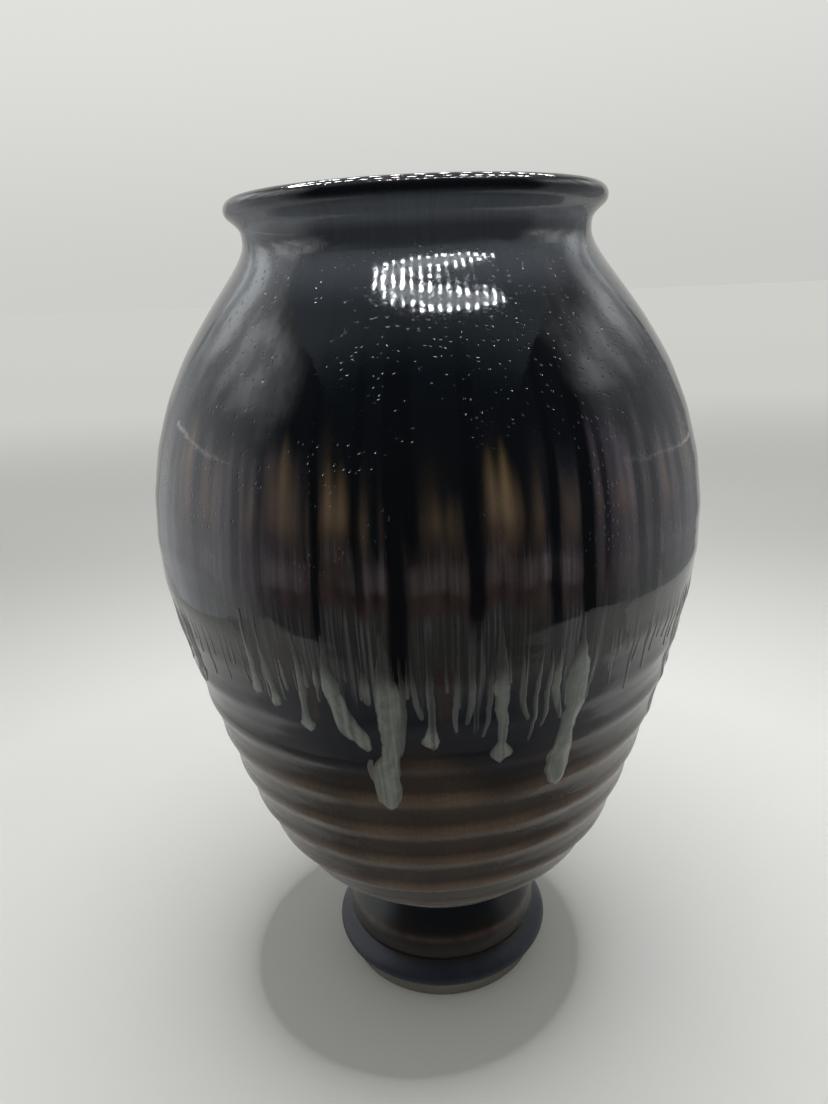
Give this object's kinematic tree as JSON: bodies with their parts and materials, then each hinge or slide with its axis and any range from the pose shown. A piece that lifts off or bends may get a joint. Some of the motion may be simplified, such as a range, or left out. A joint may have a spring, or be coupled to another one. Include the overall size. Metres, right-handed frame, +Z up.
{
  "type": "vase",
  "caption": "Thrown stoneware vase with a rolled lip, ringed belly, turned pedestal foot and pale glaze runs over dark glaze.",
  "frame": {"origin": "centre of the standing ring, on the surface that the vase stands on", "axes": "+Z up along the vase's axis, -Y towards the side that the picture shows"},
  "size_m": [0.1938, 0.1938, 0.3],
  "materials": {
    "bare_clay": "matte",
    "foot_glaze": "gloss",
    "brown_glaze": "gloss",
    "overlap_glaze": "gloss",
    "black_glaze": "gloss",
    "lip_glaze": "gloss",
    "liner_glaze": "gloss",
    "pale_glaze": "satin"
  },
  "bodies": {
    "root": {"foot_pedestal": "bare_clay", "lower_body": "bare_clay", "upper_body": "bare_clay", "neck_collar": "bare_clay", "foot_glaze": "foot_glaze", "lower_body_glaze": "brown_glaze", "belly_overlap_glaze": "overlap_glaze", "shoulder_glaze": "black_glaze", "lip_glaze": "lip_glaze", "liner_glaze": "liner_glaze", "pale_glaze_band": "pale_glaze", "pale_glaze_runs": "pale_glaze"}
  },
  "joints": []
}
